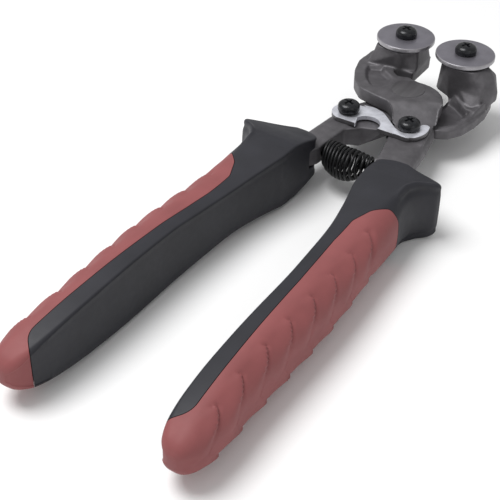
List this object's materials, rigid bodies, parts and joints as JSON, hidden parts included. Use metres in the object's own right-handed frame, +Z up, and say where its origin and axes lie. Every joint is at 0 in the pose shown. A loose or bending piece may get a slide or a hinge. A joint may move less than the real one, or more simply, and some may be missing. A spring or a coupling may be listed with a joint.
{
  "type": "wheeled tile nippers",
  "caption": "Wheeled tile and glass nippers with crossed steel levers, round carbide cutting wheels, a hook latch, a coil return spring and two-colour soft grips.",
  "frame": {"origin": "centre of the tool's bounding box in plan, on the plane it lies on", "axes": "+Y along the tool towards the jaws, +X towards the right handle seen from above, +Z up, parallel to the pivot axis"},
  "size_m": [0.076, 0.2213, 0.0323],
  "materials": {
    "forged_steel": "dark grey phosphated forging, fine matt grain",
    "carbide": "ground sintered carbide, satin",
    "zinc_plate": "bright zinc plate",
    "black_oxide": "black oxide, semi-gloss",
    "spring_steel": "black phosphated spring wire",
    "black_grip": "soft-touch black, satin",
    "red_grip": "soft brick-red elastomer, matt"
  },
  "bodies": {
    "lower_half": {"lower_lever": "forged_steel", "pivot_bolt": "forged_steel", "pivot_washer": "zinc_plate", "pivot_nut": "black_oxide", "right_wheel_bushing": "zinc_plate", "right_wheel_screw": "black_oxide", "latch_pivot_screw": "black_oxide", "latch_spring_washer": "spring_steel", "return_spring": "spring_steel", "left_spring_pin": "spring_steel", "left_grip_body": "black_grip", "left_grip_cover": "red_grip"},
    "upper_half": {"upper_lever": "forged_steel", "left_wheel_bushing": "zinc_plate", "left_wheel_screw": "black_oxide", "latch_catch_screw": "black_oxide", "latch_catch_collar": "zinc_plate", "right_spring_pin": "spring_steel", "right_grip_body": "black_grip", "right_grip_cover": "red_grip"},
    "left_wheel": {"left_wheel": "carbide"},
    "right_wheel": {"right_wheel": "carbide"},
    "latch": {"latch_plate": "zinc_plate"}
  },
  "joints": [
    {"name": "jaw_pivot", "type": "hinge", "parent": "lower_half", "child": "upper_half", "pos_m": [0, 0.0784, 0.0112], "axis": [0, 0, 1], "range_deg": [-5.5, 0], "stiffness_Nm_per_rad": 2, "springref_deg": 2.86, "deforming": ["return_spring"]},
    {"name": "latch_swing", "type": "hinge", "parent": "lower_half", "child": "latch", "pos_m": [-0.0129, 0.0568, 0.01585], "axis": [0, 0, 1], "range_deg": [-25, 0]},
    {"name": "left_wheel_turn", "type": "hinge", "parent": "upper_half", "child": "left_wheel", "pos_m": [-0.01221, 0.09968, 0.0279], "axis": [0, 0, 1], "continuous": true},
    {"name": "right_wheel_turn", "type": "hinge", "parent": "lower_half", "child": "right_wheel", "pos_m": [0.01221, 0.09968, 0.0279], "axis": [0, 0, 1], "continuous": true}
  ]
}
